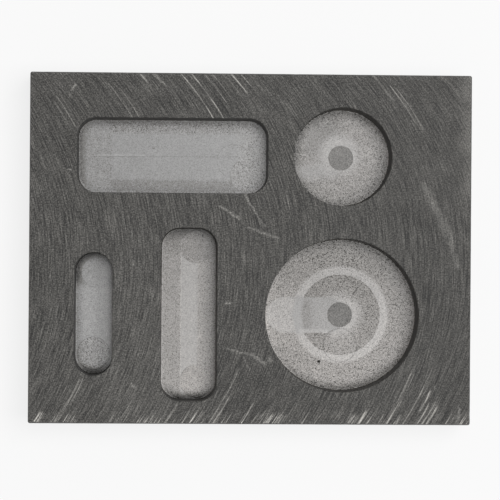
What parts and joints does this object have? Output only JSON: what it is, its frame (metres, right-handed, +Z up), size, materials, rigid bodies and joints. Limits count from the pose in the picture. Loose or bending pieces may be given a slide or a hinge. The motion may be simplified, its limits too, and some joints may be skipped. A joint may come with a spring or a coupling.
{
  "type": "ingot mould",
  "caption": "Graphite block with round and bar-shaped open cavities in its top, for casting small ingots from molten precious metal.",
  "frame": {"origin": "middle of the flat underside", "axes": "+X along the block's long side, towards the round cavities; +Y along its short side, towards the wide bar; +Z up, out of the cavities"},
  "size_m": [0.124, 0.0984, 0.0159],
  "materials": {
    "graphite": "fine-grained graphite: fly-cut on top, milled and paler in the cavities, sawn and ground elsewhere"
  },
  "bodies": {
    "root": {"mould_block": "graphite"}
  },
  "joints": []
}
